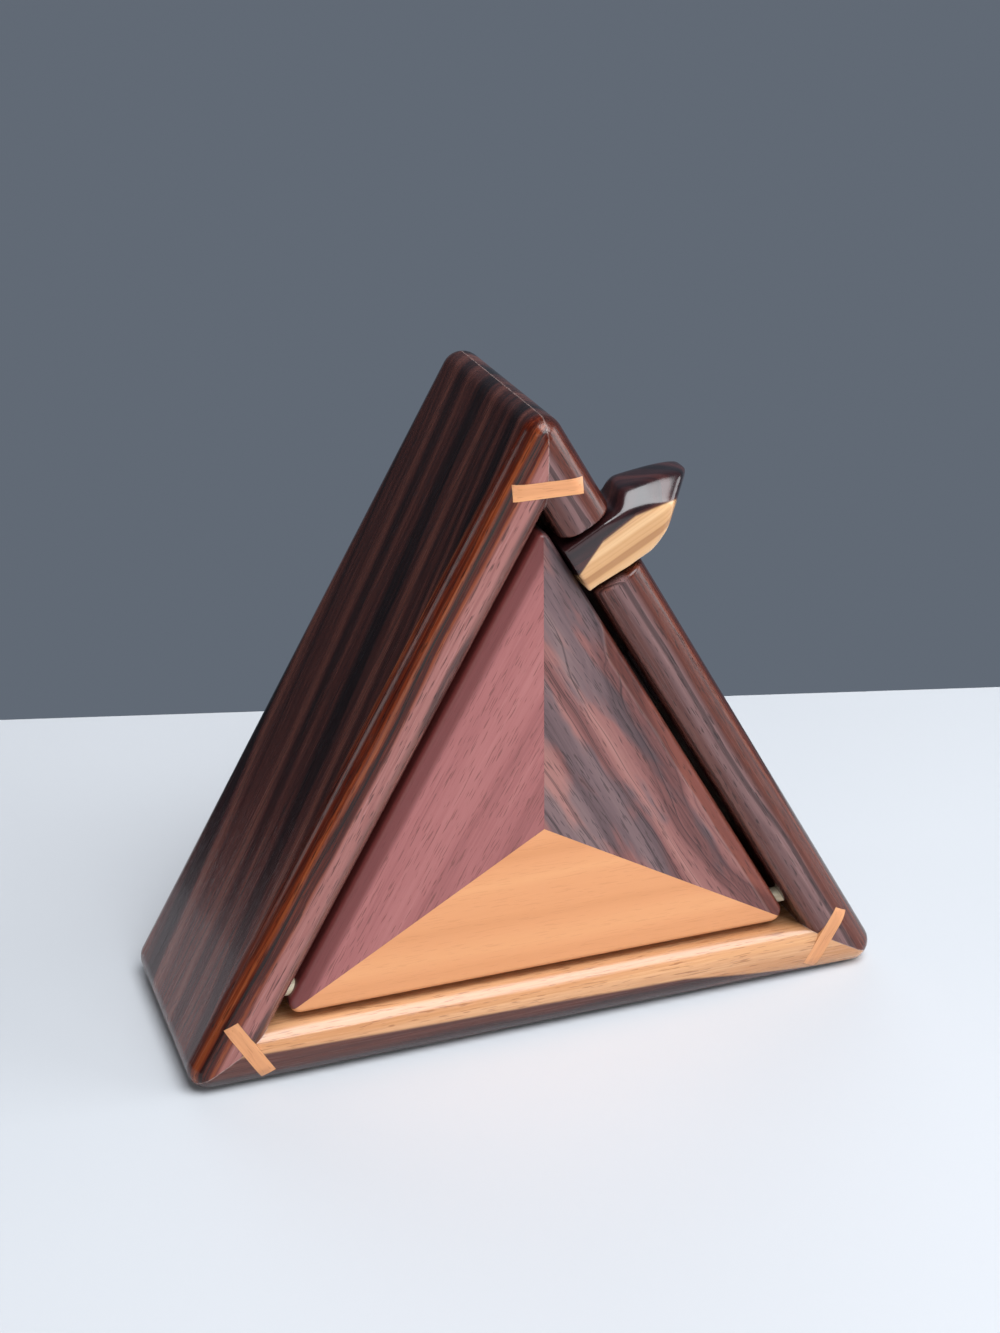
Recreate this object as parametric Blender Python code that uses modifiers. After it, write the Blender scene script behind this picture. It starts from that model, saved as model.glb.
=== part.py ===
"""Triangular wooden puzzle box with a tilting front door and a rocking wooden latch lever.

Three mitred boards with splined corners make a triangular case that stands on one board.
The door turns on two dowels at its lower corners. A lever in the right board's notch is
screwed to the back of the door, and its long inner bar swings behind a keeper block.
The origin is the centre of the footprint: +Z is up, and the door faces -Y.
"""
import math

import bmesh
import bpy
from mathutils import Matrix, Vector

MM = 0.001
GAP = 0.3 * MM                 # space kept between solids that touch on the real object
FIT = 0.1 * MM                 # space round a pin, dowel or screw in its bore
REACH = 1 * MM                 # how far a cutter runs past the surface it opens

# Case: three boards around an equilateral triangle
SIDE = 152 * MM                # side of the outer triangle, before its corners are rounded
BOARD = 11.2 * MM              # board thickness
DEPTH = 53 * MM                # board width, from the front edge to the back edge
EDGE_ROUNDING = 4.1 * MM       # of the case's front and back edges, inside and outside
CORNER_ROUNDING = 4.4 * MM     # of its three long outer corners
HEIGHT = SIDE * math.sqrt(3) / 2
CENTRE = Vector((0, 0, HEIGHT / 3))
FRONT = -DEPTH / 2
BACK = DEPTH / 2

# Splines let into the mitres
SPLINE_LENGTH = 13.7 * MM
SPLINE_THICKNESS = 3.1 * MM
SPLINE_OUT = 70.6 * MM         # from the triangle's centre to the middle of a spline

# Door, measured back from the case's front plane
DOOR_FRONT = 2.8 * MM
DOOR_BACK = 9.6 * MM
DOOR_MARGIN = 12.6 * MM        # from a side board's outer face to the door's edge
DOOR_BOTTOM = 12.8 * MM
DOOR_ROUND = 1.2 * MM
DOOR_CORNER = 2.4 * MM
DOOR_TIP = 1.5 * MM
PIN_DEPTH = 6.0 * MM
PIN_HEIGHT = 17.5 * MM
PIN_RADIUS = 1.6 * MM
PIN_INNER = 42.5 * MM          # the pin's two ends, from the middle of the box
PIN_OUTER = 58.5 * MM
HEEL_CLEARANCE = 0.8 * MM      # left beside the door's lower back corners as they swing inwards

# Back panel and the strips it is glued against
BACK_MARGIN = BOARD + GAP
BACK_FRONT = 44.2 * MM
BACK_BACK = 50.2 * MM
LEDGE = 4 * MM

# Notch in the right board, from the apex along the board's outer face
NOTCH_NEAR = 26.4 * MM
NOTCH_FAR = 39.1 * MM
NOTCH_DEPTH = 17 * MM

# Lever: points are (along, inward), from the apex down the right board and in from its face
LEVER_FRONT = 0.45 * MM
LEVER_BACK = 13.9 * MM
LEVER_HOOK = [(27.4, 1.5), (27.3, -0.4), (26.7, -1.6), (26.0, -2.7)]
LEVER_TOP = [(25.5, -3.7), (26.3, -5.9), (28.0, -10.3), (29.5, -13.4), (31.2, -16.0), (32.5, -17.4)]
LEVER_FOOT = [(33.8, -16.4), (35.2, -13.0), (36.3, -9.0), (37.1, -6.0), (37.9, -3.9), (38.4, -2.3)]
LEVER_ROOT = (37.4, 10.0)
FRONT_CHAMFER = ((0, 0.45, 105.5), (-0.119, -0.680, 0.723))   # a point of each cut and its normal
BACK_CHAMFER = ((22.9, 12.0, 112.5), (-0.119, 0.680, 0.723))
END_FACET = ((22.8, 0.45, 99.4), (0.834, -0.510, -0.209))
TONGUE_FRONT = 10.7 * MM
TONGUE_RADIUS = 5 * MM
ARM_END = 12.1 * MM
PIVOT_ALONG = 32.4 * MM
PIVOT_INWARD = 15.5 * MM
SCREW_RADIUS = 1.0 * MM
SCREW_TIP = 5.2 * MM
WASHER_RADIUS = 2.9 * MM
WASHER_THICKNESS = 0.5 * MM
HEAD_RADIUS = 2.1 * MM
HEAD_THICKNESS = 1.6 * MM
TIE_RADIUS = 0.75 * MM         # dowel that ties the latch bar to the lever
TIE_OFFSET = 3.1 * MM
SCREW_RIM = 0.5 * MM           # straight side of the screw's head, below its dome
SCREW_BORE_END = 22 * MM
TONGUE_STEPS = 14

# Latch bar behind the lever's tongue, and the blocks that it and the door meet
BAR_FRONT = 14.2 * MM
BAR_BACK = 17.4 * MM
BAR_WIDTH = 8 * MM
BAR_HEAD_RADIUS = 3.4 * MM
BAR_LENGTH = 43 * MM
BAR_SHOULDER = 6 * MM          # from the pivot to where the bar has its full width
BLOCK_LENGTH = 14 * MM
BLOCK_STANDS_OUT = 4.3 * MM
BLOCK_ROUNDING = 1 * MM        # of its two inner edges, with a smaller one at the glued face
BLOCK_GLUED_ROUNDING = 0.3 * MM
BLOCK_FRONT = DOOR_BACK + GAP
BLOCK_BACK = LEVER_BACK

BOTTOM, RIGHT, LEFT = 0, 120, 240   # degrees that the bottom board is turned to each place
SLOPE = math.radians(60)       # of the two side boards
EDGE_STEPS = 6                 # facets in a quarter circle of the boards' inner edges
ROUND_SIDES = 24
SMALL_SIDES = 16
SMOOTH_ANGLE = math.radians(40)
WELD = 0.001 * MM

COLOURS = {
    "cocobolo": (0.115, 0.034, 0.022, 1),
    "bloodwood": (0.300, 0.085, 0.070, 1),
    "figured_cocobolo": (0.120, 0.060, 0.050, 1),
    "pearwood": (0.720, 0.310, 0.115, 1),
    "spline_maple": (0.780, 0.370, 0.140, 1),
    "blackwood": (0.050, 0.025, 0.022, 1),
    "birch": (0.720, 0.600, 0.430, 1),
    "maple": (0.640, 0.480, 0.300, 1),
    "brass": (0.620, 0.440, 0.170, 1),
}
GLOSS = {"brass": 0.3, "birch": 0.6, "maple": 0.55}


def clear_scene():
    for item in list(bpy.data.objects):
        bpy.data.objects.remove(item, do_unlink=True)


def new_collection(name):
    collection = bpy.data.collections.new(name)
    bpy.context.scene.collection.children.link(collection)
    return collection


def wood(name):
    """The material of this name, made once."""
    material = bpy.data.materials.get(name)
    if material is None:
        material = bpy.data.materials.new(name)
        material.use_nodes = True
        shader = material.node_tree.nodes["Principled BSDF"]
        shader.inputs["Base Color"].default_value = COLOURS[name]
        shader.inputs["Roughness"].default_value = GLOSS.get(name, 0.35)
        shader.inputs["Metallic"].default_value = 1.0 if name == "brass" else 0.0
        material.diffuse_color = COLOURS[name]
    return material


def turned(degrees):
    """Places something modelled on the bottom board on another board."""
    turn = Matrix.Rotation(-math.radians(degrees), 4, "Y")
    return Matrix.Translation(CENTRE) @ turn @ Matrix.Translation(-CENTRE)


def on_right_board(along, inward, depth=0.0):
    """The point that lies this far down from the apex, in from the outer face and back."""
    return turned(RIGHT) @ Vector((SIDE / 2 - along, FRONT + depth, inward))


def arc(centre, radius, start, end, steps):
    """Points on an arc, with its angles in degrees."""
    angles = [math.radians(start + (end - start) * i / steps) for i in range(steps + 1)]
    return [(centre[0] + radius * math.cos(a), centre[1] + radius * math.sin(a)) for a in angles]


def rounded(corners, radii, steps=3):
    """A counter-clockwise convex outline with an arc at each corner."""
    points = []
    for i, corner in enumerate(corners):
        before = (Vector(corners[i - 1]) - Vector(corner)).normalized()
        after = (Vector(corners[(i + 1) % len(corners)]) - Vector(corner)).normalized()
        half = before.angle(after) / 2
        centre = Vector(corner) + (before + after).normalized() * radii[i] / math.sin(half)
        start = math.degrees(math.atan2(-before.x, before.y))
        sweep = 180 - math.degrees(2 * half)
        points += arc(centre, radii[i], start + 180, start + 180 + sweep, steps)
    return points


def triangle(margin, bottom, radius=0.0, tip_radius=None):
    """The outline left when a margin is taken off the outer triangle's two upper sides."""
    tip = HEIGHT - 2 * margin
    half = (tip - bottom) / math.sqrt(3)
    corners = [(-half, bottom), (half, bottom), (0, tip)]
    if not radius:
        return corners
    return rounded(corners, [radius, radius, radius if tip_radius is None else tip_radius])


def link(name, mesh, collection, material=None, matrix=None):
    item = bpy.data.objects.new(name, mesh)
    if matrix is not None:
        item.matrix_world = matrix
    if material:
        mesh.materials.append(wood(material))
    collection.objects.link(item)
    return item


def prism(name, outline, low, high, collection, material=None, matrix=None, along="Y", rounding=0.0):
    """An outline in X and Z drawn out along Y, or one in Y and Z drawn out along X."""
    curve = bpy.data.curves.new(name, "CURVE")
    curve.dimensions = "2D"
    curve.fill_mode = "BOTH"
    curve.extrude = (high - low) / 2 - rounding
    curve.bevel_depth = rounding
    curve.bevel_resolution = 2
    curve.offset = -rounding
    spline = curve.splines.new("POLY")
    spline.points.add(len(outline) - 1)
    for point, (x, y) in zip(spline.points, outline):
        point.co = (x, y, 0, 1)
    spline.use_cyclic_u = True
    guide = bpy.data.objects.new(name, curve)
    collection.objects.link(guide)
    evaluated = guide.evaluated_get(bpy.context.evaluated_depsgraph_get())
    mesh = bpy.data.meshes.new_from_object(evaluated)
    bpy.data.objects.remove(guide, do_unlink=True)
    if along == "Y":
        stand = Matrix.Rotation(math.radians(90), 4, "X")
        middle = Matrix.Translation((0, (low + high) / 2, 0))
    else:
        stand = Matrix(((0, 0, 1, 0), (1, 0, 0, 0), (0, 1, 0, 0), (0, 0, 0, 1)))
        middle = Matrix.Translation(((low + high) / 2, 0, 0))
    shape = bmesh.new()
    shape.from_mesh(mesh)
    bmesh.ops.remove_doubles(shape, verts=shape.verts, dist=WELD)
    bmesh.ops.transform(shape, matrix=middle @ stand, verts=shape.verts)
    bmesh.ops.recalc_face_normals(shape, faces=shape.faces)
    shape.to_mesh(mesh)
    shape.free()
    return link(name, mesh, collection, material, matrix)


def cylinder(name, radius, start, end, collection, material=None, sides=ROUND_SIDES):
    """A round bar from one point to another."""
    start, end = Vector(start), Vector(end)
    shape = bmesh.new()
    bmesh.ops.create_cone(
        shape, cap_ends=True, segments=sides, radius1=radius, radius2=radius, depth=(end - start).length
    )
    mesh = bpy.data.meshes.new(name)
    shape.to_mesh(mesh)
    shape.free()
    turn = (end - start).to_track_quat("Z", "Y").to_matrix().to_4x4()
    item = link(name, mesh, collection, material, Matrix.Translation((start + end) / 2) @ turn)
    mesh.shade_smooth()
    mesh.set_sharp_from_angle(angle=SMOOTH_ANGLE)
    return item


def half_space(name, point, outward, collection):
    """A block that takes away everything on the outward side of a plane."""
    size = SIDE
    shape = bmesh.new()
    bmesh.ops.create_cube(shape, size=size)
    mesh = bpy.data.meshes.new(name)
    shape.to_mesh(mesh)
    shape.free()
    outward = Vector(outward).normalized()
    turn = outward.to_track_quat("Z", "Y").to_matrix().to_4x4()
    return link(name, mesh, collection, None, Matrix.Translation(Vector(point) + outward * size / 2) @ turn)


def boolean(item, other, operation="DIFFERENCE"):
    modifier = item.modifiers.new(f"{operation.lower()} {other.name}", "BOOLEAN")
    modifier.operation = operation
    modifier.solver = "EXACT"
    modifier.object = other


def hide_cutters(cutters):
    for item in cutters.objects:
        item.hide_render = True
        item.display_type = "WIRE"


def sector(name, degrees, low, high, collection, material=None):
    """The third of the triangle that belongs to one board, cut back by half a gap at its mitres."""
    rise = GAP / 2 / math.cos(math.radians(30))
    run = SIDE / 2 + REACH
    apex = CENTRE.z - rise
    drop = run / math.sqrt(3)
    outline = [(0, apex), (-run, apex - drop), (-run, -REACH), (run, -REACH), (run, apex - drop)]
    return prism(name, outline, low, high, collection, material, turned(degrees))


def envelope(cutters):
    """The outer form of the case, rounded all over."""
    outline = triangle(0, 0, CORNER_ROUNDING)
    return prism("case_form", outline, FRONT, BACK, cutters, rounding=EDGE_ROUNDING)


def spline_block(name, degrees, extra, low, high, collection, material=None):
    """A bar across one mitre; extra grows it into the slot that takes it."""
    half_length, half_thickness = SPLINE_LENGTH / 2 + extra, SPLINE_THICKNESS / 2 + extra
    middle = CENTRE.z + SPLINE_OUT
    outline = [
        (-half_length, middle - half_thickness),
        (half_length, middle - half_thickness),
        (half_length, middle + half_thickness),
        (-half_length, middle + half_thickness),
    ]
    return prism(name, outline, low, high, collection, material, turned(degrees))


def board(name, degrees, parts, cutters, form):
    """One mitred case board, with rounded inner edges at the front and the back."""
    shoulder = BOARD - EDGE_ROUNDING
    near = arc((FRONT + EDGE_ROUNDING, shoulder), EDGE_ROUNDING, 180, 90, EDGE_STEPS)
    far = arc((BACK - EDGE_ROUNDING, shoulder), EDGE_ROUNDING, 90, 0, EDGE_STEPS)
    section = [(FRONT - REACH, -REACH), (FRONT - REACH, shoulder)] + near
    section += far + [(BACK + REACH, shoulder), (BACK + REACH, -REACH)]
    item = prism(name, section, -SIDE / 2, SIDE / 2, parts, "cocobolo", turned(degrees), along="X")
    boolean(item, sector(f"{name}_mitres", degrees, FRONT - REACH, BACK + REACH, cutters), "INTERSECT")
    boolean(item, form, "INTERSECT")
    return item


def case(parts, cutters):
    """The three boards and the splines across their mitres."""
    form = envelope(cutters)
    boards = {
        "bottom_board": board("bottom_board", BOTTOM, parts, cutters, form),
        "right_board": board("right_board", RIGHT, parts, cutters, form),
        "left_board": board("left_board", LEFT, parts, cutters, form),
    }
    for name, degrees, joined in (
        ("top_spline", BOTTOM, ("right_board", "left_board")),
        ("left_spline", RIGHT, ("left_board", "bottom_board")),
        ("right_spline", LEFT, ("bottom_board", "right_board")),
    ):
        slot = spline_block(f"{name}_slot", degrees, GAP, FRONT - REACH, BACK + REACH, cutters)
        for board_name in joined:
            boolean(boards[board_name], slot)
        key = spline_block(name, degrees, 0, FRONT - REACH, BACK + REACH, parts, "spline_maple")
        boolean(key, form, "INTERSECT")
    return boards


def notch(right_board, cutters):
    """The slot for the lever, open at the front of the right board."""
    outline = [
        (SIDE / 2 - NOTCH_FAR, -REACH),
        (SIDE / 2 - NOTCH_NEAR, -REACH),
        (SIDE / 2 - NOTCH_NEAR, BOARD + REACH),
        (SIDE / 2 - NOTCH_FAR, BOARD + REACH),
    ]
    slot = prism("lever_notch", outline, FRONT - REACH, FRONT + NOTCH_DEPTH, cutters, None, turned(RIGHT))
    boolean(right_board, slot)


def back_panel(parts):
    """Three glued pieces behind the compartment, and the strips that they are glued against."""
    blank_outline = triangle(BACK_MARGIN, BACK_MARGIN)
    centre = (0, CENTRE.z)
    for name, degrees, material in (
        ("bottom", BOTTOM, "pearwood"),
        ("right", RIGHT, "figured_cocobolo"),
        ("left", LEFT, "bloodwood"),
    ):
        low, high = BACK_MARGIN, BACK_MARGIN + LEDGE
        strip = trapezoid(low, high)
        prism(
            f"back_ledge_{name}", strip, FRONT + BACK_FRONT - GAP - LEDGE, FRONT + BACK_FRONT - GAP,
            parts, "maple", turned(degrees),
        )
        piece = third(blank_outline, centre)
        prism(
            f"back_panel_{name}", piece, FRONT + BACK_FRONT, FRONT + BACK_BACK,
            parts, material, turned(degrees),
        )


def trapezoid(low, high):
    """A mitred strip inside the bottom board, between two heights."""
    def half(height):
        return (CENTRE.z - height) * math.sqrt(3) - GAP
    return [(-half(low), low), (half(low), low), (half(high), high), (-half(high), high)]


def third(outline, centre):
    """The lower third of a triangular panel, cut back by half a gap at its two glue lines."""
    (left, bottom), (right, _), _ = outline
    rise = GAP / 2 / math.cos(math.radians(30))
    trim = rise * math.sqrt(3)
    return [(left + trim, bottom), (right - trim, bottom), (centre[0], centre[1] - rise)]


def hinge_pins(parts, cutters):
    """The two dowels that the door turns on, and the bores that take them."""
    bores = {}
    for side, sign in (("left", -1), ("right", 1)):
        inner = Vector((sign * PIN_INNER, FRONT + PIN_DEPTH, PIN_HEIGHT))
        outer = Vector((sign * PIN_OUTER, FRONT + PIN_DEPTH, PIN_HEIGHT))
        cylinder(f"hinge_pin_{side}", PIN_RADIUS, inner, outer, parts, "birch")
        end_gap = Vector((sign * GAP, 0, 0))
        bores[side] = cylinder(
            f"hinge_bore_{side}", PIN_RADIUS + FIT, inner - end_gap, outer + end_gap, cutters
        )
    return bores


def door(parts, cutters, bores):
    """The door's three glued pieces; its lower back corners are cut off so that it can swing."""
    blank_outline = triangle(DOOR_MARGIN, DOOR_BOTTOM, DOOR_CORNER, DOOR_TIP)
    low, high = FRONT + DOOR_FRONT, FRONT + DOOR_BACK
    blank = prism("door_form", blank_outline, low, high + 2 * DOOR_ROUND, cutters, rounding=DOOR_ROUND)
    opening_half = (HEIGHT - 2 * BOARD - PIN_HEIGHT) / math.sqrt(3) - HEEL_CLEARANCE
    heels = [
        half_space(
            f"door_heel_{side}",
            (sign * opening_half, FRONT + PIN_DEPTH, 0),
            (sign * math.cos(math.radians(30)), math.sin(math.radians(30)), 0),
            cutters,
        )
        for side, sign in (("left", -1), ("right", 1))
    ]
    pieces = {}
    for name, degrees, material in (
        ("door_bottom", BOTTOM, "pearwood"),
        ("door_right", RIGHT, "figured_cocobolo"),
        ("door_left", LEFT, "bloodwood"),
    ):
        piece = sector(name, degrees, low - REACH, high, parts, material)
        boolean(piece, blank, "INTERSECT")
        for heel in heels:
            boolean(piece, heel)
        for bore in bores.values():
            boolean(piece, bore)
        pieces[name] = piece
    return pieces


def lever(parts, cutters):
    """The thumb lever: an arm through the notch, a faceted head, and a tongue behind the door."""
    corners = LEVER_HOOK + LEVER_TOP + LEVER_FOOT + [LEVER_ROOT]
    corners = [(along * MM, inward * MM) for along, inward in corners]
    corners += arc((PIVOT_ALONG, PIVOT_INWARD), TONGUE_RADIUS, 0, 180, TONGUE_STEPS)
    outline = []
    for along, inward in corners:
        point = on_right_board(along, inward)
        outline.append((point.x, point.z))
    item = prism("lever", outline, FRONT + LEVER_FRONT, FRONT + LEVER_BACK, parts, "blackwood")
    for name, (point, normal) in (
        ("lever_front_chamfer", FRONT_CHAMFER),
        ("lever_back_chamfer", BACK_CHAMFER),
        ("lever_end_facet", END_FACET),
    ):
        x, depth, z = (value * MM for value in point)
        boolean(item, half_space(name, (x, FRONT + depth, z), normal, cutters))
    left = SIDE / 2 - PIVOT_ALONG - 2 * TONGUE_RADIUS
    right = left + 4 * TONGUE_RADIUS
    top = ARM_END + 3 * TONGUE_RADIUS
    room = [(left, ARM_END), (right, ARM_END), (right, top), (left, top)]
    low, high = FRONT + LEVER_FRONT - REACH, FRONT + TONGUE_FRONT
    boolean(item, prism("lever_door_room", room, low, high, cutters, None, turned(RIGHT)))
    return item


def down_the_board():
    """The direction that runs down the right board, away from the apex."""
    return Vector((-math.cos(SLOPE), 0, -math.sin(SLOPE)))


def bar_outline():
    """The latch bar: a narrow head round the pivot, then a wider bar with a round end."""
    pivot = on_right_board(PIVOT_ALONG, PIVOT_INWARD)
    down = down_the_board()
    half = BAR_WIDTH / 2
    head = arc((0, 0), BAR_HEAD_RADIUS, 90, 270, SMALL_SIDES)
    foot = arc((BAR_LENGTH - half, 0), half, -90, 90, SMALL_SIDES)
    points = head + [(BAR_SHOULDER, -half)] + foot + [(BAR_SHOULDER, half)]
    return [
        (pivot.x + down.x * run - down.z * side, pivot.z + down.z * run + down.x * side)
        for run, side in points
    ]


def latch(parts, cutters, lever_item, door_right):
    """The bar behind the lever, its tie dowel, and the screw and washers that they turn on."""
    bar = prism("latch_bar", bar_outline(), FRONT + BAR_FRONT, FRONT + BAR_BACK, parts, "maple")
    pivot = on_right_board(PIVOT_ALONG, PIVOT_INWARD)
    bore = cylinder(
        "pivot_bore", SCREW_RADIUS + FIT,
        at_depth(pivot, SCREW_TIP - GAP), at_depth(pivot, SCREW_BORE_END), cutters,
    )
    for item in (bar, lever_item, door_right):
        boolean(item, bore)
    tie = pivot + down_the_board() * TIE_OFFSET
    low, high = TONGUE_FRONT + GAP, BAR_BACK - GAP
    dowel = cylinder(
        "latch_dowel", TIE_RADIUS, at_depth(tie, low), at_depth(tie, high),
        parts, "birch", sides=SMALL_SIDES,
    )
    tie_bore = cylinder(
        "latch_dowel_bore", TIE_RADIUS + FIT, at_depth(tie, TONGUE_FRONT - REACH / 2),
        at_depth(tie, BAR_BACK + REACH), cutters, sides=SMALL_SIDES,
    )
    for item in (bar, lever_item):
        boolean(item, tie_bore)
    screwed = [pivot_screw(parts, pivot)]
    for name, depth in (("pivot_washer", DOOR_BACK + GAP), ("screw_washer", BAR_BACK + GAP)):
        washer = cylinder(
            name, WASHER_RADIUS, at_depth(pivot, depth), at_depth(pivot, depth + WASHER_THICKNESS),
            parts, "brass",
        )
        boolean(washer, bore)
        screwed.append(washer)
    return [bar, dowel], screwed


def at_depth(point, depth):
    """The same place, this far behind the front plane."""
    return Vector((point.x, FRONT + depth, point.z))


def pivot_screw(parts, pivot):
    """A round-headed screw turned from one profile."""
    shoulder = BAR_BACK + GAP + WASHER_THICKNESS + GAP
    rise = HEAD_THICKNESS - SCREW_RIM
    profile = [(0, shoulder + HEAD_THICKNESS)]
    for cosine, sine in arc((0, 0), 1, 90, 0, EDGE_STEPS)[1:]:
        profile.append((HEAD_RADIUS * cosine, shoulder + SCREW_RIM + rise * sine))
    profile += [
        (HEAD_RADIUS, shoulder),
        (SCREW_RADIUS, shoulder),
        (SCREW_RADIUS, SCREW_TIP + SCREW_RADIUS),
        (0, SCREW_TIP),
    ]
    shape = bmesh.new()
    points = [shape.verts.new((radius, 0, depth)) for radius, depth in profile]
    for a, b in zip(points, points[1:]):
        shape.edges.new((a, b))
    mesh = bpy.data.meshes.new("pivot_screw")
    shape.to_mesh(mesh)
    shape.free()
    stand = Matrix.Translation((pivot.x, FRONT, pivot.z)) @ Matrix.Rotation(math.radians(-90), 4, "X")
    item = link("pivot_screw", mesh, parts, "brass", stand)
    modifier = item.modifiers.new("turned", "SCREW")
    modifier.angle = math.radians(360)
    modifier.axis = "Z"
    modifier.steps = ROUND_SIDES
    modifier.render_steps = ROUND_SIDES
    modifier.use_merge_vertices = True
    modifier.merge_threshold = 0.01 * MM
    modifier.use_normal_calculate = True
    modifier.use_normal_flip = True
    return item


def blocks(parts):
    """Two blocks glued to the side boards that stop the door; the left one also keeps the latch."""
    pivot = on_right_board(PIVOT_ALONG, PIVOT_INWARD)
    foot = pivot + down_the_board() * (BAR_LENGTH - BLOCK_LENGTH / 2)
    from_apex = (HEIGHT - foot.z) * math.sin(SLOPE) - foot.x * math.cos(SLOPE)
    low, high = BOARD + GAP, BOARD + GAP + BLOCK_STANDS_OUT
    for name, degrees, sign in (("latch_keeper", LEFT, 1), ("door_stop", RIGHT, -1)):
        middle = sign * (from_apex - SIDE / 2)
        ends = (middle - BLOCK_LENGTH / 2, middle + BLOCK_LENGTH / 2)
        outline = rounded(
            [(ends[0], low), (ends[1], low), (ends[1], high), (ends[0], high)],
            [BLOCK_GLUED_ROUNDING, BLOCK_GLUED_ROUNDING, BLOCK_ROUNDING, BLOCK_ROUNDING],
        )
        prism(name, outline, FRONT + BLOCK_FRONT, FRONT + BLOCK_BACK, parts, "maple", turned(degrees))


def axis_frame(name, point, collection):
    """An empty on a joint's axis, to turn pieces about."""
    frame = bpy.data.objects.new(name, None)
    frame.empty_display_type = "SINGLE_ARROW"
    frame.empty_display_size = BOARD
    frame.location = point
    collection.objects.link(frame)
    return frame


def hang(items, frame, place):
    """Makes the items follow an axis frame that stands unturned at this place."""
    for item in items:
        item.parent = frame
        item.matrix_parent_inverse = Matrix.Translation(-place)


def build():
    clear_scene()
    parts = new_collection("Triangle puzzle box")
    cutters = new_collection("Cutters")
    boards = case(parts, cutters)
    notch(boards["right_board"], cutters)
    back_panel(parts)
    bores = hinge_pins(parts, cutters)
    boolean(boards["left_board"], bores["left"])
    boolean(boards["right_board"], bores["right"])
    door_pieces = door(parts, cutters, bores)
    lever_item = lever(parts, cutters)
    swinging, screwed = latch(parts, cutters, lever_item, door_pieces["door_right"])
    blocks(parts)
    hinge_place = at_depth(Vector((0, 0, PIN_HEIGHT)), PIN_DEPTH)
    pivot_place = at_depth(on_right_board(PIVOT_ALONG, PIVOT_INWARD), TONGUE_FRONT)
    door_axis = axis_frame("door_axis", hinge_place, parts)
    lever_axis = axis_frame("lever_axis", pivot_place, parts)
    hang([*door_pieces.values(), *screwed, lever_axis], door_axis, hinge_place)
    hang([lever_item, *swinging], lever_axis, pivot_place)
    hide_cutters(cutters)


build()
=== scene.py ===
"""Triangular wooden puzzle box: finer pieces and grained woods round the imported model."""
import math

import bmesh
import bpy
from mathutils import Matrix, Vector


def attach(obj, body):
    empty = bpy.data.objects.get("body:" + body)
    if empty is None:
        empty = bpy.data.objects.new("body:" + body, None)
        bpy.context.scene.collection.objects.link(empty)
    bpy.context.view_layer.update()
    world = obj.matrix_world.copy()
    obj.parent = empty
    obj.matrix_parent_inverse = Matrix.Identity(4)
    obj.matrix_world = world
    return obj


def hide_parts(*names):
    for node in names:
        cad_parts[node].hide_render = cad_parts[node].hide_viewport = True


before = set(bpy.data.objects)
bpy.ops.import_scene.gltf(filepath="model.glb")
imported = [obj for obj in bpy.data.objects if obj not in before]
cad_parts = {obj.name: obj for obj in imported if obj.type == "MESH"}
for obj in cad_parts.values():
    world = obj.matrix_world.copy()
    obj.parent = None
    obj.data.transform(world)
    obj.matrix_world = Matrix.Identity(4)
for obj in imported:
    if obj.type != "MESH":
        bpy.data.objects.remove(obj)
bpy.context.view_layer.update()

MM = 0.001
REACH = 1 * MM                 # how far a cutter stands past what it cuts
TOLERANCE, MERGE = 0.01 * MM, 0.002 * MM
JOINT = 0.03 * MM              # seen gap at a glued joint
TURN_GAP = 0.08 * MM           # seen gap round a dowel
SCREW_GAP = 0.1 * MM           # seen gap round the screw
STACK_GAP = 0.3 * MM           # between stacked pieces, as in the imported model
SHARP_ANGLE = math.radians(32)

# The case and its joints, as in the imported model
BOTTOM, RIGHT, LEFT = 0, 120, 240      # turns in degrees from the bottom board to each board
SIDE = 152 * MM
BOARD = 11.2 * MM
DEPTH = 53 * MM
FRONT, BACK = -DEPTH / 2, DEPTH / 2
HEIGHT = SIDE * math.sqrt(3) / 2
HALF_CORNER = math.radians(30)
CENTRE = Vector((0, 0, HEIGHT / 3))
EDGE_ROUNDING = 4.6 * MM
CORNER_ROUNDING, LEAST_CORNER = 4.2 * MM, 0.3 * MM
SPLINES = {"top_spline": BOTTOM, "left_spline": RIGHT, "right_spline": LEFT}
SPLINE_LENGTH = 13.7 * MM
SPLINE_THICKNESS = 3.1 * MM
SPLINE_OUT = 70.6 * MM                 # from the triangle's centre
NOTCH_NEAR, NOTCH_FAR, NOTCH_DEPTH = 26.4 * MM, 39.1 * MM, 17 * MM
NOTCH_EASE = 0.9 * MM

DOOR_FRONT, DOOR_BACK = 2.8 * MM, 9.6 * MM
DOOR_MARGIN, DOOR_BOTTOM = 12.6 * MM, 12.8 * MM
DOOR_ROUND, DOOR_LEAST_ROUND = 1.2 * MM, 0.4 * MM
DOOR_CORNER, DOOR_TIP = 2.4 * MM, 1.5 * MM
PIN_DEPTH, PIN_HEIGHT, PIN_RADIUS = 6.0 * MM, 17.5 * MM, 1.6 * MM
PIN_INNER, PIN_OUTER = 42.5 * MM, 58.5 * MM
PIN_END_ROOM, PIN_CHAMFER = 0.1 * MM, 0.2 * MM
HEEL_CLEARANCE, HEEL_ANGLE = 0.8 * MM, math.radians(30)

BACK_MARGIN = BOARD + STACK_GAP
BACK_FRONT, BACK_BACK = 44.2 * MM, 50.2 * MM
BACK_ROUND, BACK_CORNER = 0.5 * MM, 0.3 * MM

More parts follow.
